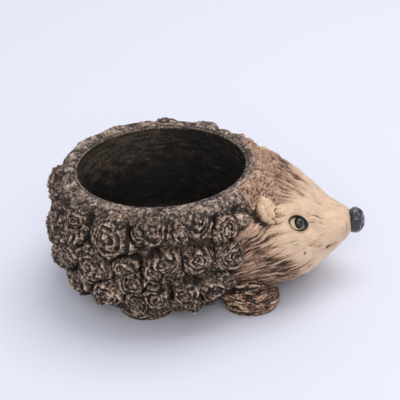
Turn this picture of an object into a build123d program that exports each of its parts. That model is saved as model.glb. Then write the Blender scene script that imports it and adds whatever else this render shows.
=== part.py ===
from build123d import *
import os

# Hedgehog planter. The nose points along +X, +Z is up, and the four soles stand on z = 0.
# The origin lies on that floor, under the middle of the length and width.

# overall sizes
overall_length = 145
overall_width = 110
overall_height = 60

# hollow for the plant
opening_length = 80
opening_width = 75
opening_depth = 45
opening_setback = 1
hollow_floor_inset = 4
hollow_floor_fillet = 5
drain_radius = 5

# pot body, a round wall turned about an upright axis
tail_inset = 1.1
base_inset = 7
base_height = 2.5
flank_wall = 4
flank_height = 9
belly_rise = 1
shoulder_overhang = 4
rear_wall = 3.5
side_wall = 6
rim_height = 9
rim_outer_fillet = 2
rim_inner_fillet = 1.2

# clearances
seat_gap = 0.3
cut_overrun = 5

# quill rosettes
rosette_height = 5
rosette_root = 2.5

# head
neck_depth = 25.4
head_width = 77
head_height_inset = 7.6
mat_thickness = 1.8
mat_length = 12.1
mat_half_width = 20
mat_height = 22

# nose
nose_radius = 6
nose_length = 5.7
nose_drop = 3
nose_shoulder = 2.2

# eyes and lids
eye_radius = 2.3
eye_sink = 0.9
eye_tilt = 23
lid_length = 11.6
lid_height = 7.2
lid_proud = 0.7
lid_seat_depth = 1.6

# ears
ear_lead = 0.1
ear_tilt = 36
ear_length = 14
ear_width = 10
ear_thickness = 3
ear_root = 4
ear_fillet = 1.4

# feet
front_foot_setback = 0.9
front_foot_inset = 13
front_foot_length = 22
front_foot_width = 18
front_foot_height = 13
rear_foot_setback = 8.9
rear_foot_inset = 10.5
rear_foot_length = 25
rear_foot_width = 17
rear_foot_height = 12.5

# low curls on the shell's foot, and locks of fur parted by grooves on the cheeks
curl_radius = 5.2
curl_height = 1.8
groove_radius = 1.4
groove_length = 40
groove_lift = 0.2

# shares of the size that each one follows
rosette_belly_share = 0.152
rosette_height_share = 0.127
eye_face_share = 0.3588
head_width_shares = [1, 1, 1, 0.99, 0.955, 0.87, 0.72, 0.545, 0.37, 0.21]
head_height_shares = [0.97, 0.98, 0.99, 1, 0.99, 0.95, 0.83, 0.645, 0.455, 0.26]
head_level_shares = [1, 1, 1, 0.995, 0.97, 0.9, 0.825, 0.775, 0.775, 0.85]
foot_height_shares = [0, 0.3, 0.75, 1]
foot_outline_shares = [0.88, 1, 0.78, 0.3]
ring_reach_shares = [1, 0.94, 0.82, 0.72, 0.65, 0.58, 0.47, 0.38, 0.31, 0.24, 0.12]
ring_height_shares = [0.33, 0.56, 0.66, 0.6, 0.46, 0.72, 0.86, 0.82, 0.68, 0.88, 0.98]

# three courses of rosettes: height up the wall, then the turn from the nose and the size of each one
upper_course_share = 0.8
upper_course = [(42, 0.52), (54, 0.6), (69, 0.85), (90, 1), (113, 1), (135, 0.92), (156, 0.85), (180, 0.9)]
middle_course_share = 0.585
middle_course = [(54, 0.68), (69, 0.8), (85, 0.95), (104, 0.95), (124, 1), (146, 0.95), (168, 0.9)]
lower_course_share = 0.37
lower_course = [(58, 0.7), (76, 0.8), (96, 0.85), (117, 0.9), (139, 0.86), (161, 0.84), (180, 0.78)]
curl_course_share = 0.17
curl_course = [62, 79, 130, 147, 164]

# grooves on the cheek: share of the face's length, tilt from its middle, and slant
cheek_grooves = [(0.12, -8, 8), (0.3, 5, 4), (0.22, -24, 14), (0.42, -12, 10)]

# pot's places worked out from the sizes
hollow_floor = overall_height - opening_depth
belly_height = overall_height / 2 + belly_rise
shoulder_height = overall_height - rim_height
base_radius = opening_length / 2 - base_inset
flank_radius = opening_length / 2 + flank_wall
belly_radius = overall_width / 2 - rosette_height
crest_radius = max(opening_length / 2 + rear_wall, opening_width / 2 + side_wall)
shoulder_radius = crest_radius + shoulder_overhang
pot_x = (overall_width - overall_length) / 2 - tail_inset
opening_x = pot_x - opening_setback
belly_front_x = pot_x + belly_radius
shoulder_front_x = pot_x + shoulder_radius
rosette_radius = min(rosette_belly_share * belly_radius, rosette_height_share * overall_height)

# head's and feet's places worked out from the sizes
neck_x = belly_front_x - neck_depth
nose_tip_x = overall_length / 2
snout_x = nose_tip_x - nose_length
head_height = overall_height - head_height_inset
head_level = belly_height
mat_reach = shoulder_front_x + mat_length
mat_bottom = overall_height - mat_height
nose_level = head_level - nose_drop
eye_x = belly_front_x + eye_face_share * (snout_x - belly_front_x)
ear_x = shoulder_front_x + ear_lead
front_foot_x = pot_x + flank_radius - front_foot_setback
front_foot_y = flank_radius - front_foot_inset
rear_foot_x = pot_x - rear_foot_setback
rear_foot_y = flank_radius - rear_foot_inset

pot_plane = Plane(origin=(pot_x, 0, 0), x_dir=(1, 0, 0), z_dir=(0, -1, 0))
pot_axis = Axis((pot_x, 0, 0), (0, 0, 1))
right_side = -1
quarter_turn = 90
half_turn = 180

os.makedirs("parts", exist_ok=True)


def save(piece, label):
    """Labels a finished piece and writes it under that name."""
    piece.part.label = label
    export_step(piece.part, "parts/" + label + ".step")


def save_pair(piece, label):
    """Writes a piece of the right side and its mirror image for the left side."""
    save(piece, "right_" + label)
    with BuildPart() as other:
        mirror(piece.part, about=Plane.XZ)
    save(other, "left_" + label)


def largest_solid(piece):
    """The piece without the crumbs that a cut against two curved forms can leave."""
    with BuildPart() as kept:
        add(piece.solids().sort_by(SortBy.VOLUME)[-1])
    return kept


def pot_form(gap):
    """Full outer form of the pot from base to rim crest, grown by a gap, with no hollow."""
    with BuildPart() as form:
        with BuildSketch(pot_plane):
            with BuildLine():
                wall = Spline(
                    (base_radius + gap, base_height - gap),
                    (flank_radius + gap, flank_height - gap),
                    (belly_radius + gap, belly_height),
                    (shoulder_radius + gap, shoulder_height),
                    (crest_radius + gap, overall_height + gap),
                )
                Polyline(wall @ 1, (0, overall_height + gap), (0, base_height - gap), wall @ 0)
            make_face()
        revolve(axis=pot_axis)
    return form.part


def head_form(gap):
    """The head as a loft of upright ellipses from the neck inside the pot to the snout."""
    rows = list(zip(head_width_shares, head_height_shares, head_level_shares))
    step_x = (snout_x - neck_x + gap) / (len(rows) - 1)
    with BuildPart() as form:
        for number, (width, height, level) in enumerate(rows):
            station_x = neck_x + number * step_x
            with BuildSketch(Plane.YZ.offset(station_x)):
                with Locations((0, level * head_level)):
                    Ellipse(width * head_width / 2 + gap, height * head_height / 2 + gap)
        loft()
    return form.part


def foot_form(x, y, length, width, height):
    """A rounded paw on a flat sole, on the right side."""
    with BuildPart() as form:
        for up, outline in zip(foot_height_shares, foot_outline_shares):
            with BuildSketch(Plane.XY.offset(up * height)):
                with Locations((x, right_side * y)):
                    Ellipse(outline * length / 2, outline * width / 2)
        loft()
        add(pot_solid, mode=Mode.SUBTRACT)
        add(head_solid, mode=Mode.SUBTRACT)
    return largest_solid(form)


def surface_seat(x, level, tilt):
    """Plane on the head's right flank, where a line tilted up from its middle comes out."""
    outwards = Axis((x, 0, level), Vector(0, right_side, 0).rotate(Axis.X, right_side * tilt))
    spot, normal = head_plain.shell().find_intersection_points(outwards)[-1]
    return Plane(origin=spot, x_dir=Vector(1, 0, 0), z_dir=normal)


def wall_seat(share, turn):
    """Plane on the pot's wall, facing outwards, at a share of its height line and a turn from the nose."""
    spot = wall_line.wire() @ share
    run = wall_line.wire() % share
    outwards = Vector(run.Z, 0, -run.X).rotate(Axis.Z, turn)
    reach = Vector(spot.X - pot_x, 0, 0).rotate(Axis.Z, turn)
    origin = Vector(pot_x, 0, spot.Z) + reach
    return Plane(origin=origin, x_dir=outwards.cross(Vector(0, 0, 1)), z_dir=outwards)


def rosette(seat, size_share):
    """A coiled quill: a round boss of raised rings about a knob, with its back on the wall."""
    section = Plane(origin=seat.origin, x_dir=seat.x_dir, z_dir=seat.x_dir.cross(seat.z_dir))
    radius = size_share * rosette_radius
    top = (0, size_share * rosette_height)
    rings = zip(ring_reach_shares, ring_height_shares)
    crown = [(reach * radius, height * top[1]) for reach, height in rings]
    with BuildPart() as boss:
        with BuildSketch(section):
            with BuildLine():
                Polyline(top, (0, -rosette_root), (radius, -rosette_root), *crown, top)
            make_face()
        revolve(axis=Axis(seat.origin, seat.z_dir))
        add(pot_solid, mode=Mode.SUBTRACT)
        add(head_solid, mode=Mode.SUBTRACT)
    return largest_solid(boss)


# forms that several pieces are cut to
pot_solid = pot_form(seat_gap)
head_plain = head_form(0)
head_solid = head_form(seat_gap)

with BuildLine(pot_plane) as wall_line:
    Spline(
        (base_radius, base_height),
        (flank_radius, flank_height),
        (belly_radius, belly_height),
        (shoulder_radius, shoulder_height),
        (crest_radius, overall_height),
    )

with BuildPart() as hollow:
    rim_growth = hollow_floor_inset * cut_overrun / opening_depth
    with BuildSketch(Plane.XY.offset(hollow_floor)):
        with Locations((opening_x, 0)):
            Ellipse(opening_length / 2 - hollow_floor_inset, opening_width / 2 - hollow_floor_inset)
    with BuildSketch(Plane.XY.offset(overall_height + cut_overrun)):
        with Locations((opening_x, 0)):
            Ellipse(opening_length / 2 + rim_growth, opening_width / 2 + rim_growth)
    loft(ruled=True)
    fillet(hollow.faces().sort_by(Axis.Z)[0].edges(), hollow_floor_fillet)

# pot shell, up to the flat seat of the rim band, with low curls round its foot
seat_plane = Plane.XY.offset(shoulder_height)
curl_ball_radius = (curl_radius**2 + curl_height**2) / (2 * curl_height)
with BuildPart() as pot_shell:
    add(pot_form(0))
    for turn in curl_course:
        for side in (right_side, -right_side):
            curl_seat = wall_seat(curl_course_share, side * turn)
            with Locations(curl_seat.offset(curl_height - curl_ball_radius)):
                Sphere(curl_ball_radius)
    split(bisect_by=seat_plane, keep=Keep.BOTTOM)
    add(hollow.part, mode=Mode.SUBTRACT)
    with Locations((opening_x, 0, hollow_floor)):
        Hole(drain_radius, depth=hollow_floor)
save(pot_shell, "pot_shell")

# rim band, laid on the shell's top
with BuildPart() as rim_band:
    add(pot_form(0))
    split(bisect_by=seat_plane, keep=Keep.TOP)
    add(hollow.part, mode=Mode.SUBTRACT)
    crest_edges = rim_band.faces().sort_by(Axis.Z)[-1].edges().sort_by(SortBy.LENGTH)
    fillet(crest_edges[-1], rim_outer_fillet)
    fillet(rim_band.faces().sort_by(Axis.Z)[-1].inner_wires().edges(), rim_inner_fillet)
save(rim_band, "rim_band")

# ear, a flat lobe on the head's flank
ear_seat = surface_seat(ear_x, head_level, ear_tilt)
with BuildPart() as ear:
    with BuildSketch(ear_seat.offset(-ear_root)):
        Ellipse(ear_width / 2, ear_length / 2)
    extrude(amount=ear_root + ear_thickness)
    ear_top = ear.faces().sort_by(Axis(ear_seat.origin, ear_seat.z_dir))[-1]
    fillet(ear_top.edges(), ear_fillet)
    add(head_solid, mode=Mode.SUBTRACT)
    add(pot_solid, mode=Mode.SUBTRACT)
save_pair(ear, "ear")

# eye bead and the ring of its lids, sunk in a socket
eye_seat = surface_seat(eye_x, head_level, eye_tilt)
bead_plane = eye_seat.offset(-eye_sink)
with BuildPart() as eye:
    with Locations(bead_plane):
        Sphere(eye_radius)
save_pair(eye, "eye")

with BuildPart() as bead_room:
    with Locations(bead_plane):
        Sphere(eye_radius + seat_gap)

with BuildPart() as eyelid:
    with BuildSketch(eye_seat.offset(seat_gap - lid_seat_depth)):
        Ellipse(lid_length / 2, lid_height / 2)
    extrude(amount=lid_seat_depth - seat_gap + lid_proud)
    add(bead_room.part, mode=Mode.SUBTRACT)
save_pair(eyelid, "eyelid")

with BuildPart() as eye_socket:
    with BuildSketch(eye_seat.offset(-lid_seat_depth)):
        Ellipse(lid_length / 2 + seat_gap, lid_height / 2 + seat_gap)
    extrude(amount=lid_seat_depth + cut_overrun)
    add(bead_room.part)

# long grooves that part the fur on the right cheek
with BuildPart() as fur_grooves:
    for face_share, tilt, slant in cheek_grooves:
        groove_x = belly_front_x + face_share * (snout_x - belly_front_x)
        groove_seat = surface_seat(groove_x, head_level, tilt)
        run = groove_seat.x_dir.rotate(Axis((0, 0, 0), groove_seat.z_dir), slant)
        with Locations(Plane(origin=groove_seat.offset(groove_lift).origin, z_dir=run)):
            Cylinder(groove_radius, groove_length)

# head, cut back to the pot and open for both eyes
with BuildPart() as head:
    add(head_plain)
    add(fur_grooves.part, mode=Mode.SUBTRACT)
    mirror(fur_grooves.part, about=Plane.XZ, mode=Mode.SUBTRACT)
    add(pot_solid, mode=Mode.SUBTRACT)
    add(eye_socket.part, mode=Mode.SUBTRACT)
    mirror(eye_socket.part, about=Plane.XZ, mode=Mode.SUBTRACT)
save(head, "head")

# forehead mat, a thin curved pad from the rim band down the brow
with BuildPart() as ear_room:
    with BuildSketch(ear_seat.offset(-ear_root)):
        Ellipse(ear_width / 2 + seat_gap, ear_length / 2 + seat_gap)
    extrude(amount=ear_root + ear_thickness + cut_overrun)

with BuildPart() as forehead_mat:
    add(head_form(mat_thickness))
    with BuildSketch(Plane.XY.offset(mat_bottom)):
        with Locations((neck_x, 0)):
            Ellipse(mat_reach - neck_x, mat_half_width)
    extrude(amount=overall_height, mode=Mode.INTERSECT)
    add(head_solid, mode=Mode.SUBTRACT)
    add(pot_solid, mode=Mode.SUBTRACT)
    add(ear_room.part, mode=Mode.SUBTRACT)
    mirror(ear_room.part, about=Plane.XZ, mode=Mode.SUBTRACT)
save(largest_solid(forehead_mat), "forehead_mat")

# nose, a round button on the flat end of the snout
nose_plane = Plane(origin=(snout_x, 0, nose_level), x_dir=(1, 0, 0), z_dir=(0, -1, 0))
with BuildPart() as nose:
    with BuildSketch(nose_plane):
        with BuildLine():
            Polyline((nose_length, 0), (0, 0), (0, nose_radius), (nose_shoulder, nose_radius))
            nose_reach = nose_length - nose_shoulder
            EllipticalCenterArc((nose_shoulder, 0), nose_reach, nose_radius, arc_size=quarter_turn)
        make_face()
    revolve(axis=Axis(nose_plane.origin, nose_plane.x_dir))
save(nose, "nose")

# feet
front_foot = foot_form(front_foot_x, front_foot_y, front_foot_length, front_foot_width, front_foot_height)
save_pair(front_foot, "front_foot")
rear_foot = foot_form(rear_foot_x, rear_foot_y, rear_foot_length, rear_foot_width, rear_foot_height)
save_pair(rear_foot, "rear_foot")

# rosettes, right and left along each course, with one on the tail where the turn is half a circle
courses = [
    ("upper", upper_course_share, upper_course),
    ("middle", middle_course_share, middle_course),
    ("lower", lower_course_share, lower_course),
]
for course_name, wall_share, course in courses:
    for number, (turn, size_share) in enumerate(course, start=1):
        quill = rosette(wall_seat(wall_share, right_side * turn), size_share)
        if turn == half_turn:
            save(quill, "tail_" + course_name + "_rosette")
        else:
            save_pair(quill, course_name + "_rosette_" + str(number))
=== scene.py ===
import bpy
import math
from itertools import product
from mathutils import Matrix, Vector
import numpy as np


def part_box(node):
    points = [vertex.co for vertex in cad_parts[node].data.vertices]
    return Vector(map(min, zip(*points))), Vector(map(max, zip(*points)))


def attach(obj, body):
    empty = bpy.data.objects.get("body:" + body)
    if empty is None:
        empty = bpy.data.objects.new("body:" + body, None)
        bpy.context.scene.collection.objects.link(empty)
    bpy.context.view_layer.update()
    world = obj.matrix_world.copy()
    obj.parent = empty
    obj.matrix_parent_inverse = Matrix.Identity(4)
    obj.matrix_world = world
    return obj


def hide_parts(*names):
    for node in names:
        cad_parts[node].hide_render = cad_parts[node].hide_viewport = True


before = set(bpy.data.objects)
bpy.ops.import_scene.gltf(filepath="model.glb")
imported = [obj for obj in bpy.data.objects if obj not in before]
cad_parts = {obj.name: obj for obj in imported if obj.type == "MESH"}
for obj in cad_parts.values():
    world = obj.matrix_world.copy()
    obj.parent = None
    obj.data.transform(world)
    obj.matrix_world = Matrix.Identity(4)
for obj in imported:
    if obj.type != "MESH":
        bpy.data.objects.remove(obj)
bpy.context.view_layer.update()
mm = 0.001

# camera first, so that every later stage can be looked at
cameraView = {
    "target": (0.0, 0.0, 28.0),  # mm, the point that the photograph is measured from
    "distance": 600.0,  # mm
    "azimuth": 4.6,
    "elevation": 30.5,
    "roll": -3.4,
    "lens": 115.8,
    "lift": 10.1,  # mm, the picture's middle lies this far above the target
    "slide": -2.7,  # mm, and this far to the right of it
}


def placeCamera(values):
    turn, rise, roll = (math.radians(values[key]) for key in ("azimuth", "elevation", "roll"))
    back = Vector((math.sin(turn) * math.cos(rise), -math.cos(turn) * math.cos(rise), math.sin(rise)))
    right = Vector((math.cos(turn), math.sin(turn), 0))
    up = back.cross(right)
    rolledRight = right * math.cos(roll) + up * math.sin(roll)
    rolledUp = up * math.cos(roll) - right * math.sin(roll)
    aim = Vector(values["target"]) + rolledUp * values["lift"] + rolledRight * values["slide"]
    bpy.ops.object.select_all(action="DESELECT")
    bpy.ops.object.camera_add()
    camera = bpy.context.object
    camera.name = "productCamera"
    turned = Matrix((rolledRight, rolledUp, back)).transposed().to_4x4()
    camera.matrix_world = Matrix.Translation((aim + back * values["distance"]) * mm) @ turned
    camera.data.lens = values["lens"]
    camera.data.sensor_width = 36
    camera.data.clip_start = 0.01
    bpy.context.scene.camera = camera


placeCamera(cameraView)
print("camera placed")


# small helpers
def smoothStep(low, high, values):
    share = np.clip((values - low) / (high - low), 0, 1)
    return share * share * (3 - 2 * share)


def scatter(cells, salt):  # three steady numbers from 0 to 1 for each lattice cell
    a, b, c = (cells[:, i].astype(np.uint32) for i in range(3))
    mixed = a * np.uint32(2654435761) ^ b * np.uint32(2246822519) ^ c * np.uint32(3266489917)
    mixed = mixed ^ np.uint32(salt * 668265263 & 0xFFFFFFFF)
    found = []
    for _ in range(3):
        mixed = (mixed ^ (mixed >> np.uint32(15))) * np.uint32(2246822519)
        mixed = (mixed ^ (mixed >> np.uint32(13))) * np.uint32(3266489917)
        mixed = mixed ^ (mixed >> np.uint32(16))
        found.append(mixed / 4294967296.0)
    return np.stack(found, 1)


def mottle(places, size, salt):  # soft lumps of that size, from about -1 to 1
    spread = places / size
    base = np.floor(spread)
    rest = spread - base
    base = base.astype(np.int64)
    ease = rest**3 * (rest * (rest * 6 - 15) + 10)
    total = np.zeros(len(spread))
    for corner in product((0, 1), repeat=3):
        step = np.array(corner)
        slope = scatter(base + step, salt) * 2 - 1
        weight = np.prod(np.where(step == 1, ease, 1 - ease), axis=1)
        total += weight * np.einsum("ij,ij->i", slope, rest - step)
    return total * 1.9


def drift(places, size, salts):  # a soft shift in three directions
    return np.column_stack([mottle(places, size, salt) for salt in salts])


def pitting(places, size, salt):  # 0 in the middle of each scattered pit, about 1 between them
    spread = places / size
    base = np.floor(spread).astype(np.int64)
    nearest = np.full(len(spread), 9.0)
    for corner in product((-1, 0, 1), repeat=3):
        cells = base + np.array(corner)
        spots = cells + 0.1 + 0.8 * scatter(cells, salt)
        nearest = np.minimum(nearest, np.linalg.norm(spread - spots, axis=1))
    return np.clip(nearest, 0, 1)


def lines(values, width):  # 1 along the line where the lumps pass zero, 0 away from it
    return np.clip(1 - np.abs(values) / width, 0, 1)


def bell(values, middle, width):  # 1 at the middle, fading out on both sides
    return np.exp(-(((values - middle) / width) ** 2))


def setMode(mode):
    bpy.ops.object.mode_set(mode=mode)


def clearSelection():
    if bpy.context.object and bpy.context.object.mode != "OBJECT":
        setMode("OBJECT")
    bpy.ops.object.select_all(action="DESELECT")


def readVectors(source, key, kind):
    flat = np.empty(len(source) * 3, kind)
    source.foreach_get(key, flat)
    return flat.reshape(-1, 3).astype(np.float64)


def getPoints(piece, unit=mm):
    return readVectors(piece.data.vertices, "co", np.float64) / unit


def getNormals(piece):
    return readVectors(piece.data.vertex_normals, "vector", np.float32)


def setPoints(piece, places):
    piece.data.vertices.foreach_set("co", (places * mm).ravel())
    piece.data.update()


def keepValues(piece, name, values):
    layer = piece.data.attributes.new(name, "FLOAT", "POINT")
    layer.data.foreach_set("value", np.clip(values, 0, 1).astype(np.float32))


def selectOnly(piece):
    clearSelection()
    bpy.context.view_layer.objects.active = piece
    piece.select_set(True)


def roundOff(piece, levels):
    selectOnly(piece)
    modifier = piece.modifiers.new("shape", "SUBSURF")
    modifier.levels = levels
    modifier.render_levels = levels
    bpy.ops.object.modifier_apply(modifier=modifier.name)


def faceOutwards():  # the piece that is open in edit mode
    bpy.ops.mesh.select_all(action="SELECT")
    bpy.ops.mesh.normals_make_consistent(inside=False)
    setMode("OBJECT")


def pick(items, kind, picks):  # selects those faces or edges of the active piece, and stays in edit mode
    setMode("EDIT")
    bpy.ops.mesh.select_mode(type=kind)
    bpy.ops.mesh.select_all(action="DESELECT")
    setMode("OBJECT")
    for item, wanted in zip(items, picks):
        item.select = bool(wanted)
    setMode("EDIT")


def copyOf(base, name):
    piece = base.copy()
    piece.data = base.data.copy()
    piece.name = name
    bpy.context.collection.objects.link(piece)
    return piece


def addBall(name, values, radius, place):  # radius in mm
    clearSelection()
    bpy.ops.mesh.primitive_uv_sphere_add(
        segments=values["segments"], ring_count=values["rings"], radius=radius * mm, location=place
    )
    ball = bpy.context.object
    ball.name = name
    return ball


def bakePlace(piece):
    selectOnly(piece)
    bpy.ops.object.transform_apply(location=True, rotation=True, scale=True)
    bpy.ops.object.shade_smooth()


# a ring is a centre and its sizes in mm, and each one is extruded from the last
def ringStack(name, rings, sides, standing):
    clearSelection()
    turned = (0, 0, 0) if standing else (0, math.pi / 2, 0)
    bpy.ops.mesh.primitive_circle_add(vertices=sides, radius=mm, location=(0, 0, 0), rotation=turned)
    piece = bpy.context.object
    piece.name = name
    bpy.ops.object.transform_apply(location=False, rotation=True, scale=False)
    setMode("EDIT")
    bpy.ops.mesh.select_mode(type="VERT")
    bpy.ops.mesh.select_all(action="SELECT")
    lastCentre, lastSizes = Vector((0, 0, 0)), (1, 1, 1)
    for number, (centre, sizes) in enumerate(rings):
        if number:
            bpy.ops.mesh.extrude_region()
        factors = [new / old for new, old in zip(sizes, lastSizes)]
        bpy.ops.transform.resize(value=factors, center_override=lastCentre * mm)
        bpy.ops.transform.translate(value=(Vector(centre) - lastCentre) * mm)
        lastCentre, lastSizes = Vector(centre), sizes
    return piece


def finishPiece(piece, nodes, slotName, material, ridge, tone=None):
    keepValues(piece, "ridge", ridge)
    if tone is not None:
        keepValues(piece, "tone", tone)
    piece.data.materials.clear()
    piece.data.materials.append(material)
    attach(piece, "root")
    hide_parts(*nodes)


# materials
def linearColour(code):
    channels = [int(code[i : i + 2], 16) / 255 for i in (1, 3, 5)]
    return [c / 12.92 if c <= 0.04045 else ((c + 0.055) / 1.055) ** 2.4 for c in channels] + [1.0]


def setInputs(shader, values):
    for key, value in values.items():
        shader.inputs[key].default_value = value


def addNode(tree, kind, settings, links):
    node = tree.nodes.new("ShaderNode" + kind)
    for key, value in settings.items():
        if key == "stops":  # colour ramp: place and colour
            while len(node.color_ramp.elements) < len(value):
                node.color_ramp.elements.new(0.5)
            for element, (place, code) in zip(node.color_ramp.elements, value):
                element.position = place
                element.color = linearColour(code)
        elif isinstance(key, int) or key in node.inputs:
            node.inputs[key].default_value = value
        else:
            setattr(node, key, value)
    for key, (source, output) in links.items():
        tree.links.new(source.outputs[output], node.inputs[key])
    return node


# cast polyresin, painted dark and dry-brushed: the paint stays in the hollows and is pale on the ridges
# grain: mm, how far it shifts the ridge, bump. patches: mm, how far they change the light
def paintedResin(name, stops, grain, patches, rough, secondStops=None, shine=0.3, coat=0.0):
    material = bpy.data.materials.new(name)
    material.use_nodes = True
    tree = material.node_tree
    shader = tree.nodes["Principled BSDF"]
    gloss = {"Specular IOR Level": shine, "Coat Weight": coat, "Coat Roughness": 0.12}
    setInputs(shader, {"IOR": 1.5} | gloss)  # polyester resin with matt acrylic paint
    grainSize, grainReach, bump = grain
    patchSize, patchReach = patches
    where = {"Vector": (addNode(tree, "TexCoord", {}, {}), "Object")}
    ridge = addNode(tree, "Attribute", {"attribute_name": "ridge"}, {})
    settings = {"Scale": 1 / (grainSize * mm), "Detail": 3.0, "Roughness": 0.6}
    grainNode = addNode(tree, "TexNoise", settings, where)
    settings = {"operation": "MULTIPLY_ADD", 1: grainReach, 2: -grainReach / 2}
    brushGrainAndBoreLight = addNode(tree, "Math", settings, {0: (grainNode, "Fac")})
    settings = {"operation": "ADD", "use_clamp": True}
    height = addNode(tree, "Math", settings, {0: (ridge, "Fac"), 1: (brushGrainAndBoreLight, 0)})
    colour = addNode(tree, "ValToRGB", {"stops": stops}, {"Fac": (height, 0)})
    colourOut = "Color"
    if secondStops:
        tone = addNode(tree, "Attribute", {"attribute_name": "tone"}, {})
        second = addNode(tree, "ValToRGB", {"stops": secondStops}, {"Fac": (height, 0)})
        links = {0: (tone, "Fac"), 6: (colour, "Color"), 7: (second, "Color")}
        colour = addNode(tree, "Mix", {"data_type": "RGBA"}, links)
        colourOut = 2
    patchNode = addNode(tree, "TexNoise", {"Scale": 1 / (patchSize * mm), "Detail": 2.0}, where)
    settings = {"From Min": 0.3, "From Max": 0.7, "To Min": 1 - patchReach, "To Max": 1 + patchReach}
    shade = addNode(tree, "MapRange", settings, {"Value": (patchNode, "Fac")})
    links = {0: (colour, colourOut), "Scale": (shade, "Result")}
    varied = addNode(tree, "VectorMath", {"operation": "SCALE"}, links)
    settings = {"To Min": rough[0], "To Max": rough[1]}
    dullness = addNode(tree, "MapRange", settings, {"Value": (grainNode, "Fac")})
    settings = {"Strength": bump, "Distance": grainSize * mm * 0.5}
    bumped = addNode(tree, "Bump", settings, {"Height": (grainNode, "Fac")})
    tree.links.new(varied.outputs[0], shader.inputs["Base Color"])
    tree.links.new(dullness.outputs["Result"], shader.inputs["Roughness"])
    tree.links.new(bumped.outputs["Normal"], shader.inputs["Normal"])
    return material


# dull black brown inside the pot, which gives hardly any light back
boreStops = [(0.0, "#110F0D"), (0.45, "#1C1916"), (0.75, "#342D27"), (1.0, "#564A3E")]

# no shine, and each coil is drawn by its own pale edge
barkResin = paintedResin(
    "barkPaintedPolyresin",
    stops=[(0.0, "#0B0806"), (0.28, "#251B15"), (0.5, "#5C4A3F"), (0.74, "#96806F"), (1.0, "#CDB49F")],
    grain=(0.9, 1.7, 0.7),
    patches=(14, 0.18),
    rough=(0.55, 0.8),
)
# rubbed paler than the bark, so that the rim stands out against the dark bore
rimResin = paintedResin(
    "rimPaintedPolyresin",
    stops=[(0.0, "#120D0A"), (0.3, "#43362F"), (0.55, "#7A685D"), (0.8, "#A89485"), (1.0, "#D2BFAE")],
    secondStops=boreStops,
    grain=(0.9, 1.6, 0.7),
    patches=(12, 0.14),
    rough=(0.5, 0.75),
)
# the dark ground that the swirls lie on
shellResin = paintedResin(
    "shellPaintedPolyresin",
    stops=[(0.0, "#0B0806"), (0.3, "#271D17"), (0.55, "#544438"), (0.8, "#8B7565"), (1.0, "#BDA592")],
    secondStops=boreStops,
    grain=(1.0, 1.4, 0.6),
    patches=(18, 0.2),
    rough=(0.5, 0.75),
)
furStops = [(0.0, "#1A110C"), (0.3, "#53392B"), (0.55, "#9B7A65"), (0.8, "#C3A189"), (1.0, "#E0C4AA")]
# warm matt tan with brown left in the combed lines, and all brown where the tone is 1
faceResin = paintedResin(
    "facePaintedPolyresin",
    stops=[(0.0, "#3E2819"), (0.25, "#9A7655"), (0.5, "#CFB093"), (0.8, "#DBC1A8"), (1.0, "#E8D3BF")],
    secondStops=furStops,
    grain=(0.8, 0.62, 0.2),
    patches=(7, 0.12),
    rough=(0.5, 0.7),
)
# tan hairs over dark brown, warmer than the bark
footResin = paintedResin(
    "footPaintedPolyresin",
    stops=[(0.0, "#0F0A07"), (0.3, "#3A2B21"), (0.55, "#866852"), (0.8, "#BC9B82"), (1.0, "#DABFA8")],
    grain=(0.9, 0.9, 0.5),
    patches=(9, 0.12),
    rough=(0.5, 0.75),
)
# gloss black over a lumpy casting, with soft broad highlights
noseGlaze = paintedResin(
    "noseGlossPaint",
    stops=[(0.0, "#050507"), (0.5, "#101016"), (0.8, "#20212B"), (1.0, "#454856")],
    shine=0.6,
    coat=0.5,
    grain=(1.1, 0.3, 0.25),
    patches=(4, 0.15),
    rough=(0.1, 0.26),
)
# a dark ring inside a pale fold, which draws the outline of the eye
lidResin = paintedResin(
    "lidPaintedPolyresin",
    stops=[(0.0, "#120D0A"), (0.35, "#4A3929"), (0.6, "#A0866A"), (1.0, "#D8BA9C")],
    grain=(0.6, 0.15, 0.15),
    patches=(4, 0.08),
    rough=(0.4, 0.6),
)
# gloss black with one small sharp highlight
eyeGlaze = paintedResin(
    "eyeGlossPaint",
    stops=[(0.0, "#080908"), (0.6, "#151815"), (1.0, "#2A2E29")],
    shine=0.45,
    coat=0.3,
    grain=(1.0, 0.1, 0.0),
    patches=(3, 0.1),
    rough=(0.08, 0.14),
)
print("materials mixed")

# pot wall, the line that everything on the pot is laid on
potWall = {
    "axisX": -18.6,
    "openingX": -19.6,
    "heights": (2.5, 9.0, 31.0, 51.0, 60.0),  # mm, up the outer wall
    "radii": (33.0, 44.0, 50.0, 47.5, 43.5),
    "top": 60.0,
    "floor": 15.0,
    "topHalf": (40.0, 37.5),  # oval bore, drawn up to the rim
    "lipX": -18.8,
    "lipHalf": (38.5, 37.3),  # the lip turns in over it
    "lipTop": 58.9,
    "floorHalf": (36.0, 33.5),
    "drain": 5.0,
}


def wallLine(values):  # smooth curve through the named points, as closely spaced (radius, height) pairs
    knots = np.array(list(zip(values["radii"], values["heights"])))
    gaps = np.linalg.norm(np.diff(knots, axis=0), axis=1)
    count = len(knots)
    system = np.eye(count)
    target = np.zeros((count, 2))
    for i in range(1, count - 1):
        system[i, i - 1 : i + 2] = gaps[i - 1], 2 * (gaps[i - 1] + gaps[i]), gaps[i]
        target[i] = 6 * ((knots[i + 1] - knots[i]) / gaps[i] - (knots[i] - knots[i - 1]) / gaps[i - 1])
    bend = np.linalg.solve(system, target)
    found = []
    for i in range(count - 1):
        b = np.linspace(0, 1, 40, endpoint=i == count - 2)[:, None]
        a = 1 - b
        sway = (a**3 - a) * bend[i] + (b**3 - b) * bend[i + 1]
        found.append(a * knots[i] + b * knots[i + 1] + sway * gaps[i] * gaps[i] / 6)
    return np.vstack(found)


wallPath = wallLine(potWall)


def wallRadius(heights):
    return np.interp(heights, wallPath[:, 1], wallPath[:, 0])


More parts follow.
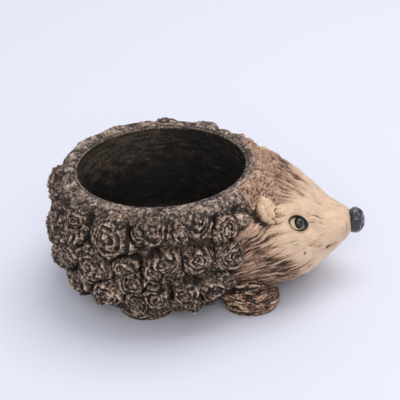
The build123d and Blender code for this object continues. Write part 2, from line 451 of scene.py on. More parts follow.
def wallSlope(heights):  # change of radius for each mm up
    return wallRadius(heights + 0.5) - wallRadius(heights - 0.5)


def polarOf(places):
    offset = places[:, :2] - np.array([potWall["axisX"], 0.0])
    return np.linalg.norm(offset, axis=1), np.arctan2(offset[:, 1], offset[:, 0])


# rosettes: every swirl has one or two knobs, and terraced rings spread from the nearest one
swirlForm = {
    "sides": 144,
    "rings": 34,
    "cadRadius": 7.6,
    "spread": 1.62,  # each swirl is this much wider than its round CAD boss, so that the swirls close up
    "knobReach": 9.4,  # mm, from a full-size knob to the outside of its rings
    "base": 2.4,  # mm, how far a swirl stands off the wall at its edge
    "dome": 2.5,  # mm, and how much higher its middle is
    "ringPlaces": (0.26, 0.55, 0.84),
    "ringWidth": 0.56,  # mm
    "ringRise": 0.8,
    "ringStep": 0.55,  # mm, the fall from one terrace to the next
    "groovePlace": -1.15,  # mm, just inside each ring
    "grooveWidth": 0.62,
    "grooveShare": 0.85,
    "knobRise": 0.6,
    "offMiddle": 0.22,
    "seamRise": 1.3,  # mm off the wall where two swirls meet, and the depth of the crack between them
    "crackDepth": 2.8,
    "edgeDepth": 1.6,
    "rootDepth": 3.0,
    "underRim": (60.2, 56.5),  # mm up, between which a swirl runs in under the rim band
    "underRimDepth": 1.2,
    "lowest": 1.0,
    "highest": 59.6,
}
swirlSizes = {
    "upper": (0.52, 0.6, 0.85, 1, 1, 0.92, 0.85, 0.9),
    "middle": (0.68, 0.8, 0.95, 0.95, 1, 0.95, 0.9),
    "lower": (0.7, 0.8, 0.85, 0.9, 0.86, 0.84, 0.78),
}
seenKnobs = {  # near side as photographed, by course and place: mm right, mm up, size
    "upper": {
        1: [(0.5, 1.0, 0.6)],
        2: [(0.7, 1.5, 1.0)],
        3: [(1.0, 7.2, 1.0), (-5.8, 4.0, 0.6)],
        4: [(0.2, 7.4, 1.05), (-6.4, 4.6, 0.6)],
        5: [(-0.5, 0.8, 1.25)],
        6: [(0.4, 4.2, 0.8), (0.2, -2.6, 0.8)],
        7: [(0.5, 1.0, 0.9)],
    },
    "middle": {
        1: [(2.3, 3.3, 1.0)],
        2: [(-1.0, 7.4, 0.95)],
        3: [(-0.8, 7.4, 1.05), (-6.0, 2.6, 0.75)],
        4: [(-1.5, 3.3, 0.75), (1.3, -3.3, 0.85)],
        5: [(0.2, 0.5, 1.1)],
    },
    "lower": {
        1: [(-3.5, 2.5, 0.9)],
        2: [(-1.0, 4.6, 0.8), (2.0, -2.5, 0.8)],
        3: [(4.0, 4.0, 0.9), (-3.5, -1.0, 0.85)],
        4: [(1.0, 1.5, 0.9), (-5.0, -1.0, 0.65)],
    },
}


def roundCake(sides, rings):  # round cake of radius 1 whose top is inset ring by ring
    clearSelection()
    bpy.ops.mesh.primitive_cylinder_add(vertices=sides, radius=1, depth=1, end_fill_type="NGON")
    piece = bpy.context.object
    pick(piece.data.polygons, "FACE", [face.normal.z > 0.9 for face in piece.data.polygons])
    for _ in range(rings):
        bpy.ops.mesh.inset(thickness=0.97 / rings, depth=0)
    bpy.ops.mesh.poke()
    setMode("OBJECT")
    return piece, getPoints(piece, 1)


def seatOn(turn, height):  # place, right, up and outward directions on the wall
    radius = float(wallRadius(height))
    slope = float(wallSlope(height))
    out = Vector((math.cos(turn), math.sin(turn), -slope)).normalized()
    right = Vector((-math.sin(turn), math.cos(turn), 0))
    up = out.cross(right)
    spot = Vector((potWall["axisX"] + radius * math.cos(turn), radius * math.sin(turn), height))
    return spot, right, up, out


def guessKnobs(number):  # the sides that the photograph doesn't show follow the same habits
    chance = scatter(np.array([[number, 3, 7], [number, 5, 1], [number, 9, 4]]), 11)
    shift = (2.6 * (chance[0, 0] - 0.5), 5.0 * (chance[0, 1] - 0.2))
    if chance[0, 2] < 0.45:
        return [(shift[0], shift[1], 0.9 + 0.3 * chance[1, 0])]
    turn = math.radians(360 * chance[1, 1])
    step = (3.6 * math.cos(turn), 3.6 * math.sin(turn))
    return [
        (shift[0] + step[0], shift[1] + step[1], 0.75 + 0.25 * chance[1, 2]),
        (shift[0] - step[0], shift[1] - step[1], 0.6 + 0.25 * chance[2, 0]),
    ]


def listSwirls():
    found = []
    for number, name in enumerate(sorted(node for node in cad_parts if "rosette" in node)):
        low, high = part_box(name)
        middle = (low + high) / 2 / mm
        course = [key for key in swirlSizes if key in name][0]
        place = int(name.split("_")[-1]) if name[-1].isdigit() else len(swirlSizes[course])
        size = swirlSizes[course][place - 1]
        turn = math.atan2(middle.y, middle.x - potWall["axisX"])
        seat = seatOn(turn, middle.z)
        spot, right, up, out = seat
        knobs = []
        seen = seenKnobs[course] if name.startswith("right") else {}
        for across, rise, share in seen.get(place, guessKnobs(number)):
            at = spot + right * across + up * rise - out * (across**2 / (2 * wallRadius(middle.z)))
            knobs.append({"flat": (across, rise), "spot": at, "reach": share * size * swirlForm["knobReach"]})
        radius = size**0.6 * swirlForm["cadRadius"] * swirlForm["spread"]
        entry = {"name": name, "seed": number + 1, "seat": seat, "level": middle.z}
        found.append(entry | {"knobs": knobs, "radius": radius})
    return found


swirls = listSwirls()
footCurlForm = {"bends": (62, 79, 96, 113, 130, 147, 164), "level": 11.5, "reach": 6.2}
footCurls = []  # the low curls that are part of the shell, right above the feet
for bend in footCurlForm["bends"]:
    for side in (-1, 1):
        spot = seatOn(math.radians(side * bend), footCurlForm["level"])[0]
        footCurls.append({"knobs": [{"spot": spot, "reach": footCurlForm["reach"]}]})
knobSpots = np.array([knob["spot"] for entry in swirls + footCurls for knob in entry["knobs"]])
knobReaches = np.array([knob["reach"] for entry in swirls + footCurls for knob in entry["knobs"]])
knobOwners = np.array([i for i, entry in enumerate(swirls + footCurls) for _ in entry["knobs"]])


def strayed(places, seed=0):  # lines that would be round wander like modelled clay
    spots = places + seed * 31.7
    return places + drift(spots, 8.0, (21, 22, 23)) * 1.7 + drift(spots, 3.0, (24, 25, 26)) * 0.4


def knobShares(places):  # distance from each knob as a share of its reach
    moved = strayed(places)
    return np.stack([np.linalg.norm(moved - c, axis=1) / r for c, r in zip(knobSpots, knobReaches)], 1)


def cellRoom(places, own):  # how much nearer a place is to its own swirl than to the next one
    shares = knobShares(places)
    mine = shares[:, knobOwners == own].min(axis=1)
    return shares[:, knobOwners != own].min(axis=1) - mine


def terraces(away, reachMm, seed):  # height and ridge of the rings around one knob, away in mm
    offset = swirlForm["offMiddle"] * np.array([math.cos(seed * 2.4), 0.4 + 0.6 * abs(math.sin(seed * 2.4))])
    share = away / reachMm  # the rings gather towards the knob, which sits off their middle
    along = share @ offset
    tight = 1 - offset @ offset
    reach = (along + np.sqrt(along**2 + tight * np.sum(share**2, axis=1))) / tight
    angle = np.arctan2(away[:, 1], away[:, 0])
    around = np.column_stack([np.cos(angle) * 1.6, np.sin(angle) * 1.6, reach * 0 + seed * 3.1])
    crest, step = np.zeros(len(reach)), np.zeros(len(reach))
    for number, place in enumerate(swirlForm["ringPlaces"]):
        strength = np.clip(0.72 + 0.8 * mottle(around + number * 7.7, 1.0, 31), 0.1, 1.3)
        local = (reach - place - 0.05 * mottle(around + number * 5.1, 0.9, 32)) * reachMm
        groove = bell(local, swirlForm["groovePlace"], swirlForm["grooveWidth"])
        crest += strength * bell(local, 0, swirlForm["ringWidth"])
        crest -= swirlForm["grooveShare"] * strength * groove
        step += strength * smoothStep(-0.4, 1.4, local)
    knob = bell(reach, 0, 0.13)
    height = swirlForm["ringRise"] * crest - swirlForm["ringStep"] * step + swirlForm["knobRise"] * knob
    onion = np.sin(reach * reachMm * 5.2 + 2.0 * mottle(around, 1.0, 33)) * smoothStep(0.25, 0.4, reach)
    return height + 0.08 * onion, 0.5 * crest + 0.25 * knob + 0.12 * onion, reach


# stipple that covers everything on the pot: size and height in mm, and share of pale or dark paint
stipple = {"lumps": (3.2, 0.3, 0.14), "crumbs": (1.5, 0.22, 0.22), "pits": (1.9, 0.4, 0.34)}


def barkGrain(spots):
    sizes, heights, paints = zip(*stipple.values())
    lumps = mottle(spots, sizes[0], 42)
    crumbs = mottle(spots, sizes[1], 43)
    pits = bell(pitting(spots, sizes[2], 44), 0, 0.26)
    return [a * lumps + b * crumbs - c * pits for a, b, c in (heights, paints)]


def swirlPattern(entry, onWall, flat):  # height, ridge and reach of the nearest knob's rings
    moved = strayed(onWall, entry["seed"]) - onWall
    right, up = entry["seat"][1:3]
    warped = flat + np.column_stack([moved @ np.array(right), moved @ np.array(up)])
    patterns = []
    for i, knob in enumerate(entry["knobs"]):
        patterns.append(terraces(warped - np.array(knob["flat"]), knob["reach"], entry["seed"] + i * 0.5))
    rings, marks, reaches = (np.stack(kind, 1) for kind in zip(*patterns))
    nearest = reaches.argmin(axis=1)
    each = np.arange(len(nearest))
    rings = rings[each, nearest]
    marks = marks[each, nearest]
    if len(patterns) > 1:  # a crease runs between two knobs of one swirl
        crease = smoothStep(0.14, 0.0, np.abs(reaches[:, 0] - reaches[:, 1]))
        rings = rings - 0.5 * crease
        marks = marks - 0.25 * crease
    return rings, marks, reaches.min(axis=1)


baseCake, cakePlaces = roundCake(swirlForm["sides"], swirlForm["rings"])
topOfCake = cakePlaces[:, 2] > 0
for number, entry in enumerate(swirls):
    seat, right, up, out = entry["seat"]
    flat = cakePlaces[:, :2] * entry["radius"]
    bend = flat[:, 0] ** 2 / (2 * wallRadius(entry["level"]))  # follows the round wall
    onWall = np.array(seat) + np.outer(flat[:, 0], right) + np.outer(flat[:, 1], up) - np.outer(bend, out)
    rings, marks, reach = swirlPattern(entry, onWall, flat)
    grain, speckle = barkGrain(onWall + entry["seed"])
    dome = swirlForm["dome"] * (1 - np.clip(reach, 0, 1.3) ** 2 / 1.69)
    room = cellRoom(onWall, number)
    height = swirlForm["base"] + dome + rings + grain
    seam = swirlForm["seamRise"]
    height = seam + (height - seam) * smoothStep(-0.02, 0.12, room)
    height = height - swirlForm["crackDepth"] * smoothStep(0.0, -0.14, room)
    edge = smoothStep(1.0, 0.84, np.linalg.norm(cakePlaces[:, :2], axis=1))
    height = height * edge - swirlForm["edgeDepth"] * (1 - edge)
    level = onWall[:, 2] + height * out[2]
    under = smoothStep(*swirlForm["underRim"], level)
    height = height * under - swirlForm["underRimDepth"] * (1 - under)
    height = np.where(topOfCake, height, -swirlForm["rootDepth"])
    places = onWall + np.outer(height, out)
    places[:, 2] = np.clip(places[:, 2], swirlForm["lowest"], swirlForm["highest"])
    near = smoothStep(54.0, 58.5, places[:, 2])
    # the swirls are darker towards the tail end
    marks -= 0.1 * smoothStep(-45, -66, places[:, 0])
    # painted shade: the lower swirls are darker, where the wall turns in under the belly
    ridge = 0.45 + 0.88 * marks * (1 - 0.5 * near) + 1.3 * speckle - 0.08 * smoothStep(26, 8, places[:, 2])
    # the cracks between swirls and the swirls' sunken edges are darker: dark wash that stays in them, and
    # painted shade
    uncracked = smoothStep(-0.01, 0.1, room + 0.03 * mottle(onWall, 2.0, 45))
    ridge = ridge * (0.14 + 0.86 * np.maximum(uncracked, 0.8 * near))
    ridge = np.where(topOfCake, ridge * (0.65 + 0.35 * np.maximum(edge, near)), 0)
    ridge = np.maximum(ridge, (0.42 + speckle) * near)  # what shows over the rim is as pale as the rim
    piece = copyOf(baseCake, entry["name"] + "_swirl")
    setPoints(piece, places)
    piece.data.polygons.foreach_set("use_smooth", [True] * len(piece.data.polygons))
    finishPiece(piece, [entry["name"]], "dark_bark", barkResin, ridge)
bpy.data.objects.remove(baseCake)
print("rosettes coiled:", len(swirls))

# pot shell
shellForm = {
    "sides": 96,
    "inset": 0.6,  # mm, it lies this far inside the wall line, under the swirls
    "soleRadii": (6.0, 12.0, 20.0, 27.0),
    "outerHeights": (2.5, 3.2, 4.6, 6.4, 9, 12, 16, 20, 24, 28, 32, 36, 40, 44, 47.5, 50.4, 51.2),
    "boreHeights": (51.2, 50.0, 45, 38, 31, 24, 19, 16.6, 15.4, 15.0),
    "floorRadii": (26.0, 17.0, 9.0, 5.6, 5.0),
    "roundFrom": 19,  # mm up, below which the bore turns in to the floor
    "tuck": 2.2,
    "drainDepth": 6.0,  # mm of the drain hole that is drawn down from the floor
}


def ringAt(x, radiusX, radiusY, z):
    return (x, 0.0, z), (radiusX, radiusY, 1.0)


def shellRings(values):
    axis, opening, floor, drain = (values[key] for key in ("axisX", "openingX", "floor", "drain"))
    base = values["heights"][0]
    rings = [ringAt(opening, drain, drain, base)]
    for radius in shellForm["soleRadii"]:
        x = axis + (opening - axis) * (1 - radius / values["radii"][0])
        rings.append(ringAt(x, radius, radius, base))
    for height in shellForm["outerHeights"]:
        radius = float(wallRadius(height)) - shellForm["inset"]
        rings.append(ringAt(axis, radius, radius, height))
    topX, topY = values["topHalf"]
    lowX, lowY = values["floorHalf"]
    for height in shellForm["boreHeights"]:
        share = (values["top"] - height) / (values["top"] - floor)
        tuck = shellForm["tuck"] * max(0.0, (shellForm["roundFrom"] - height) / 4) ** 2
        halfX, halfY = topX + (lowX - topX) * share - tuck, topY + (lowY - topY) * share - tuck
        rings.append(ringAt(opening, halfX, halfY, height))
    for radius in shellForm["floorRadii"]:  # the oval floor turns round towards the drain hole
        rings.append(ringAt(opening, radius, radius * (0.93 + 0.07 * (26 - radius) / 21), floor))
    rings.append(ringAt(opening, drain, drain, floor - shellForm["drainDepth"]))
    return rings


def closeRound(piece):  # joins the last ring to the first, and measures the smoothed piece
    bpy.ops.mesh.select_all(action="DESELECT")
    bpy.ops.mesh.select_non_manifold()
    bpy.ops.mesh.bridge_edge_loops()
    faceOutwards()
    roundOff(piece, 2)
    bakePlace(piece)
    places = getPoints(piece)
    return places, getNormals(piece), *polarOf(places)


def borePaint(places, radius, turn):  # scratches in the bore, and painted light: paler towards the top, most of all on the far side, where light falls in over the rim
    scratches = mottle(np.column_stack([places[:, 2] + radius, turn * 6.0, turn * 0]), 1.1, 55)
    farSide = smoothStep(0.0, 0.95, np.cos(turn - 2.75))
    return scratches, smoothStep(22, 60, places[:, 2]) * (0.15 + 0.5 * farSide)


shell = ringStack("potShell", shellRings(potWall), shellForm["sides"], True)
places, normals, radius, turn = closeRound(shell)
z = places[:, 2]
outer = (radius > wallRadius(z) - 2.5) & (z > 3.0) & (z < 51.5)
moved = strayed(places)
curlSpots = [curl["knobs"][0]["spot"] for curl in footCurls]
curlShares = [np.linalg.norm(moved - spot, axis=1) / footCurlForm["reach"] for spot in curlSpots]
nearCurl = np.stack(curlShares, 1).min(axis=1)
curlRings = sum(bell(nearCurl, place, 0.09) for place in (0.3, 0.62, 0.95))
curlRings -= sum(bell(nearCurl, place, 0.08) for place in (0.16, 0.47, 0.79))
bump = 2.0 * np.clip(1 - nearCurl**2, 0, 1) + 0.6 * curlRings * smoothStep(1.2, 0.95, nearCurl)
bump *= smoothStep(3.0, 7.0, z)
grain, speckle = barkGrain(places)
lumps = mottle(places, 5.5, 51)
grit = mottle(places, 1.8, 52)
scratches, brushGrainAndBoreLight = borePaint(places, radius, turn)
inner = ~outer & (z > 14.0)
smoothed = np.where(inner, 0.1 * scratches + 0.08 * lumps, 0.08 * grit)
setPoints(shell, places + normals * np.where(outer, 0.9 * lumps + grain + bump, smoothed)[:, None])
barkRidge = 0.44 + 0.12 * lumps + 1.3 * speckle + 0.3 * curlRings
ridge = np.where(outer, barkRidge, 0.3 + 0.4 * scratches + 0.1 * lumps)
# the bore gets the painted light
ridge = np.where(inner, ridge + brushGrainAndBoreLight, ridge)
finishPiece(shell, ["pot_shell"], "dark_bark", shellResin, ridge, np.where(outer, 0.0, 1.0))
print("pot shell turned")

# rim band
rimForm = {
    "sides": 128,
    "boreHeights": (48.0, 48.3, 50.0, 52.5, 54.5, 56.5, 58.0, 58.7),  # mm up, it laps over the shell's bore
    "boreGap": 0.15,
    "boreHalf": (40.6, 38.1),  # mm, what lies within this oval and below the top counts as bore
    "lipWidth": 1.0,
    "topLine": ((0.36, 58.9), (0.48, 59.1), (0.6, 59.1), (0.74, 59.0), (0.87, 58.6)),  # share outwards, mm up
    "outerHeights": (58.0, 56.8, 55.2, 53.6, 52.0, 50.8, 50.4),
    "flare": 3.0,  # mm wider where the far side meets the tail
    "lipReach": 37.7,  # mm, about half the opening
    "highest": 60.4,
}


def rimRings(values):
    axis, opening, top = (values[key] for key in ("axisX", "openingX", "top"))
    (topX, topY), (lowX, lowY), (lipX, lipY) = (values[key] for key in ("topHalf", "floorHalf", "lipHalf"))
    rings = []
    for height in rimForm["boreHeights"]:
        turnIn = max(0.0, (height - 52.5) / 6.2) ** 2
        sizes = []
        for wide, narrow, lip in ((topX, lowX, lipX), (topY, lowY, lipY)):
            bore = wide - (top - height) * (wide - narrow) / (top - values["floor"]) - rimForm["boreGap"]
            sizes.append(bore + (lip - bore) * turnIn)
        rings.append(ringAt(opening + (values["lipX"] - opening) * turnIn, *sizes, height))
    rings.append(ringAt(values["lipX"], lipX + 0.3, lipY + 0.3, rimForm["boreHeights"][-1]))
    rings.append(ringAt(values["lipX"], lipX + 1.0, lipY + 1.0, values["lipTop"]))
    outer = float(wallRadius(top))
    for share, height in rimForm["topLine"]:
        sizes = [inner + (outer - inner) * share for inner in (topX, topY)]
        rings.append(ringAt(opening + (axis - opening) * share, *sizes, height))
    for height in rimForm["outerHeights"]:
        radius = float(wallRadius(height))
        rings.append(ringAt(axis, radius, radius, height))
    rings.append(ringAt(axis, 46.0, 45.0, 50.2))
    return rings


rim = ringStack("rimBand", rimRings(potWall), rimForm["sides"], True)
places, normals, radius, turn = closeRound(rim)
x, y, z = places.T
lipX, lipY = potWall["lipHalf"]
fromOpening = np.hypot((x - potWall["lipX"]) / lipX, y / lipY)
overLip = (fromOpening - 1) * rimForm["lipReach"]  # mm outwards from the opening's edge
band = smoothStep(rimForm["lipWidth"], rimForm["lipWidth"] + 0.8, overLip)
boreX, boreY = rimForm["boreHalf"]
fromBore = np.hypot((x - potWall["openingX"]) / boreX, y / boreY)
inside = (overLip < 1.6) & (z < 59.0) & (fromBore < 1)
grain, speckle = barkGrain(places)
lumps = mottle(places, 6.5, 61)
curl = lines(mottle(strayed(places), 2.6, 64), 0.3)
groove = bell(overLip - rimForm["lipWidth"], 0.4, 0.35)
scratches, brushGrainAndBoreLight = borePaint(places, radius, turn)
relief = band * (0.8 * lumps + 1.1 * grain + 0.3 * curl) - 0.3 * groove
relief = np.where(inside, 0.08 * scratches, relief)
relief = np.where((z < 50.9) & ~inside, 0, relief)
raised = places + normals * relief[:, None]
flare = rimForm["flare"] * smoothStep(0, 18, y) * smoothStep(-12, -38, x)
flare *= smoothStep(1.5, 5.0, overLip) * smoothStep(50.5, 54.0, z)
raised[:, 0] += flare * np.cos(turn)
raised[:, 1] += flare * np.sin(turn)
raised[:, 2] = np.minimum(raised[:, 2], rimForm["highest"])
setPoints(rim, raised)
bandRidge = 0.1 * lumps + 1.55 * speckle + 0.12 * curl + 0.07
ridge = 0.4 + 0.9 * speckle * (1 - band) + band * bandRidge - 0.3 * groove
ridge -= 0.3 * smoothStep(57.5, 52, z)
boreShare = inside * smoothStep(58.6, 57.9, z)
# the band's bore part gets the same scratches and painted light
ridge += (0.3 + 0.4 * scratches + brushGrainAndBoreLight - ridge) * boreShare
finishPiece(rim, ["rim_band"], "dark_bark", rimResin, ridge, boreShare)
print("rim band rolled")

# head
headForm = {
    "level": 31.0,  # mm
    "halfWidth": 38.5,
    "halfHeight": 26.2,
    "stations": (6.0, 12.8, 19.5, 26.3, 33.0, 39.8, 46.5, 53.3, 60.0, 68.3),  # mm along X
    "widths": (1, 1, 1, 0.99, 0.955, 0.87, 0.72, 0.545, 0.35, 0.155),
    "heights": (0.97, 0.98, 0.99, 1, 0.99, 0.94, 0.805, 0.585, 0.38, 0.21),
    "levels": (1, 1, 1, 0.995, 0.97, 0.908, 0.846, 0.815, 0.826, 0.885),
    "sides": 64,
    "bendAlong": 140.0,  # mm, twice the radius that small pieces on the flank are bent to
    "bendUp": 52.0,
    "furDepth": 0.9,
    "streakStart": 66.8,  # mm along X, where the streaks start behind the nose, and their length
    "streakLength": 48.0,
    "furEdge": 32.5,  # mm along X, where the brown fur ends, and how much further over brow and throat
    "overBrow": 9.5,
    "overThroat": 13.5,
}
stationXs = headForm["stations"]


def headSizes(x):
    width = np.interp(x, stationXs, headForm["widths"]) * headForm["halfWidth"]
    height = np.interp(x, stationXs, headForm["heights"]) * headForm["halfHeight"]
    level = np.interp(x, stationXs, headForm["levels"]) * headForm["level"]
    return width, height, level


def headRings():
    grown = 1.005  # for what rounding off takes away
    rings = []
    for x in stationXs:
        width, height, level = headSizes(x)
        rings.append(((x, 0.0, level), (1.0, width * grown, height * grown)))
    return rings


def hugPot(places, depth):  # what would stand inside the pot is laid against its wall instead
    radius, turn = polarOf(places)
    limit = wallRadius(places[:, 2]) - depth
    short = radius < limit
    moved = places.copy()
    moved[short, 0] = potWall["axisX"] + limit[short] * np.cos(turn[short])
    moved[short, 1] = limit[short] * np.sin(turn[short])
    return moved, short


def furFlow(places):  # streaks that run back from the snout and turn down over the cheeks, and the tilt
    x, y, z = places.T
    width, height, level = headSizes(x)
    rise = np.arctan2((z - level) / height, np.abs(y) / width)
    back = np.clip((headForm["streakStart"] - x) / headForm["streakLength"], 0, 1.4)
    swept = rise + 0.5 * back**2 * np.cos(rise) ** 2
    side = np.where(y < 0, -1.0, 1.0)
    return np.column_stack([side * np.cos(swept) * 26, np.sin(swept) * 26, x / 11.0]), rise


def furTone(places):  # 1 in the brown fur, 0 on the tan face, with a streaky edge between them
    flow, rise = furFlow(places)
    edgeX = headForm["furEdge"] + headForm["overBrow"] * smoothStep(0.8, 1.25, rise)
    edgeX = edgeX + headForm["overThroat"] * smoothStep(0.2, -0.3, rise)
    jitter = 4.0 * mottle(flow, 1.8, 79) + 2.0 * mottle(flow, 3.6, 80)
    return smoothStep(6.5, -6.5, places[:, 0] - edgeX + jitter)


def toSegment(places, start, end):  # distance from a line on either cheek
    mirrored = np.column_stack([places[:, 0], -np.abs(places[:, 1]), places[:, 2]])
    start, end = np.array(start), np.array(end)
    share = np.clip((mirrored - start) @ (end - start) / np.sum((end - start) ** 2), 0, 1)
    return np.linalg.norm(mirrored - start - np.outer(share, end - start), axis=1)


faceMarks = [  # (start, end, width mm, strength): mouth, its corner, a pit, and creases beside the nose
    ((64.4, -9.7, 22.8), (56.3, -18.0, 24.5), 0.6, 0.75),
    ((56.1, -18.2, 24.3), (56.1, -18.2, 24.2), 1.1, 0.8),
    ((45.6, -28.4, 28.1), (45.6, -28.4, 28.0), 0.7, 1.0),
    ((65.0, -7.0, 32.0), (65.4, -8.6, 26.0), 0.5, 0.4),
]


# mm from the ear's middle, and the side that the arc is on
earMarks = [((4.9, -0.9), (-1.0, 0.0)), ((2.7, -6.4), (0.8, 0.6))]


def thumbMarks(across, rise):  # two thumbnail marks where the ear runs out into the cheek
    total = np.zeros(len(across))
    for (middleX, middleY), turnedTo in earMarks:
        away = np.column_stack([across - middleX, rise - middleY])
        span = np.maximum(np.linalg.norm(away, axis=1), 0.1)
        arc = bell(span, 1.5, 0.26) * smoothStep(0.15, 0.6, away @ np.array(turnedTo) / span)
        total = np.maximum(total, arc)
    return total


def faceRelief(places):
    flow, rise = furFlow(places)
    fur = furTone(places)
    wave = flow + 0.8 * np.column_stack([mottle(places, 7.0, 71), mottle(places, 7.0, 72), places[:, 0] * 0])
    strands = mottle(wave, 1.8, 73)
    fine = mottle(wave * np.array([1, 1, 1.5]), 0.85, 74)
    cuts = lines(mottle(wave, 1.1, 75), 0.28) * smoothStep(-0.8, 0.0, mottle(places, 6.0, 76))
    deep = lines(mottle(wave, 1.9, 78), 0.15) * smoothStep(-0.3, 0.3, mottle(wave, 4.0, 70))
    tan = 0.17 + 0.3 * smoothStep(0.0, 0.6, mottle(places, 7.0, 81))
    depth = tan + (1 - tan) * fur
    relief = headForm["furDepth"] * depth * (0.45 * strands + 0.3 * fine - 0.7 * cuts - 1.0 * deep)
    relief += 0.3 * mottle(places, 5.5, 77)
    ridge = 0.62 - 0.08 * fur + depth * (0.16 * strands + 0.28 * fine - 0.58 * cuts - 0.58 * deep)
    ridge += 0.25 * smoothStep(0.1, -0.6, rise) * (1 - fur)  # paler under the snout: painted light, as thrown up from the floor
    ridge += 0.05 * mottle(places, 3.5, 69)
    for start, end, width, strength in faceMarks:
        mark = strength * bell(toSegment(places, start, end), 0, width)
        relief -= 0.6 * mark
        ridge -= 0.6 * mark
    return relief, ridge, fur


head = ringStack("headSkin", headRings(), headForm["sides"], False)
bpy.ops.mesh.edge_face_add()
bpy.ops.mesh.select_all(action="DESELECT")
bpy.ops.mesh.select_non_manifold()
bpy.ops.mesh.edge_face_add()
faceOutwards()
roundOff(head, 3)
places = getPoints(head)
ends = np.array([edge.vertices[:] for edge in head.data.edges])
reaches = np.abs(places[ends[:, 1], 0] - places[ends[:, 0], 0])  # mm along the head
pick(head.data.edges, "EDGE", reaches > 0.3)  # halved, so that short marks come out sharp
bpy.ops.mesh.subdivide(number_cuts=1)
setMode("OBJECT")
bakePlace(head)
print("head triangles:", sum(len(face.vertices) - 2 for face in head.data.polygons))


def headSeat(x, tilt, side):  # where a line tilted up from the head's middle comes out
    bpy.context.view_layer.update()
    start = Vector((x, 0, headForm["level"])) * mm
    direction = Vector((0, side * math.cos(math.radians(tilt)), math.sin(math.radians(tilt))))
    _, spot, out, _ = head.ray_cast(start, direction)
    along = (Vector((1, 0, 0)) - out * out.x).normalized()
    up = out.cross(along) if side > 0 else along.cross(out)
    return spot / mm, along, up if up.z > 0 else -up, out.copy()


def tiltOf(node):  # x and tilt of a CAD piece that sits on the head's flank
    low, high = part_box(node)
    middle = (low + high) / 2 / mm
    return middle.x, math.degrees(math.atan2(middle.z - headForm["level"], abs(middle.y)))


def onSeat(seat, flat, height):  # flat places and heights in mm laid on a seat, bent as the head is
    spot, along, up, out = seat
    height = height - flat[:, 0] ** 2 / headForm["bendAlong"] - flat[:, 1] ** 2 / headForm["bendUp"]
    return np.array(spot) + np.outer(flat[:, 0], along) + np.outer(flat[:, 1], up) + np.outer(height, out)


def fromSeat(places, seat):  # mm along, up and in a straight line from a seat's middle
    spot, along, up = (np.array(v) for v in seat[:3])
    offset = places - spot
    return offset @ along, offset @ up, np.linalg.norm(offset, axis=1)


sides = {"right": -1, "left": 1}
eyeSeats = {side: headSeat(*tiltOf(side + "_eye"), sign) for side, sign in sides.items()}
earSeats = {side: headSeat(*tiltOf(side + "_ear"), sign) for side, sign in sides.items()}
normals = getNormals(head)
places, laid = hugPot(getPoints(head), 1.0)
relief, ridge, fur = faceRelief(places)
for seat in eyeSeats.values():
    ahead, over, away = fromSeat(places, seat)
    socket = np.where(away < 12, smoothStep(1.25, 0.7, np.hypot(ahead / 6.6, over / 4.4)), 0)
    relief = relief * (1 - 0.8 * socket) - 1.1 * socket
for seat in earSeats.values():  # hollow behind and above the ear: brown paint, with painted shade under the ear's rear edge
    ahead, over, away = fromSeat(places, seat)
    behind = smoothStep(0.35, -0.25, ahead / 5.6) * bell(np.hypot(ahead / 5.6, over / 6.9), 1.08, 0.16)
    behind = np.where(away < 14, behind, 0)
    mark = np.where(away < 12, thumbMarks(ahead, over), 0)
    relief -= 0.9 * behind
    relief -= 0.6 * mark
    # painted shade in the hollow and in the thumbnail marks
    ridge -= 0.6 * behind
    ridge -= 0.75 * mark
    fur = np.clip(fur + behind, 0, 1)
relief[laid] = 0
setPoints(head, places + normals * relief[:, None])
finishPiece(head, ["head"], "face_tan", faceResin, ridge, fur)
print("head shaped")


def layOnHead(base, name, places, *finish):
    piece = copyOf(base, name)
    setPoints(piece, places)
    selectOnly(piece)
    setMode("EDIT")
    faceOutwards()
    bpy.ops.object.shade_smooth()
    finishPiece(piece, *finish)


# eyelids and eyes
lidForm = {
    "length": 14.6,
    "height": 9.0,
    "back": 0.6,
    "lowered": {"right": 0.0, "left": 0.9},  # mm, the far one doesn't show over the brow
    "sides": 72,
    "rings": 20,
    # from the middle outwards: share of the way, and mm above the head or ridge from 0 to 1
    "steps": ((0.0, -1.5), (0.45, -1.4), (0.6, -0.9), (0.7, -0.15), (0.78, 0.05), (0.88, -0.05), (1.0, -1.0)),
    "tones": ((0.36, 0.1), (0.44, 0.7), (0.6, 0.6), (0.66, 0.02), (0.76, 0.02), (0.83, 0.9), (1.0, 1.0)),
}
lidCake, lidPlaces = roundCake(lidForm["sides"], lidForm["rings"])
reach = np.linalg.norm(lidPlaces[:, :2], axis=1)
across, rise, thick = lidPlaces.T
for side, seat in eyeSeats.items():
    pointed = 1 - 0.4 * np.abs(across) ** 2.4
    along = across * lidForm["length"] / 2 - lidForm["back"]
    flat = np.column_stack([along, rise * pointed * lidForm["height"] / 2])
    upper = smoothStep(-0.2, 0.6, rise)
    height = np.interp(reach, *zip(*lidForm["steps"])) + 0.35 * upper * bell(reach, 0.8, 0.1)
    grit = mottle(np.column_stack([flat, reach]), 1.2, 81)
    height = height - lidForm["lowered"][side]
    height = np.where(thick > 0, height + 0.08 * grit, -2.0)
    ridge = np.interp(reach, *zip(*lidForm["tones"])) + 0.08 * grit
    ridge -= 0.5 * smoothStep(0.42, 0.66, across) * smoothStep(0.74, 0.66, reach)  # front corner is dark
    ridge = np.where(thick > 0, ridge - 0.5 * upper * bell(reach, 0.84, 0.06), 0)
    places = onSeat(seat, flat, height)
    layOnHead(lidCake, side + "Eyelid", places, [side + "_eyelid"], "lid_brown", lidResin, ridge)
bpy.data.objects.remove(lidCake)

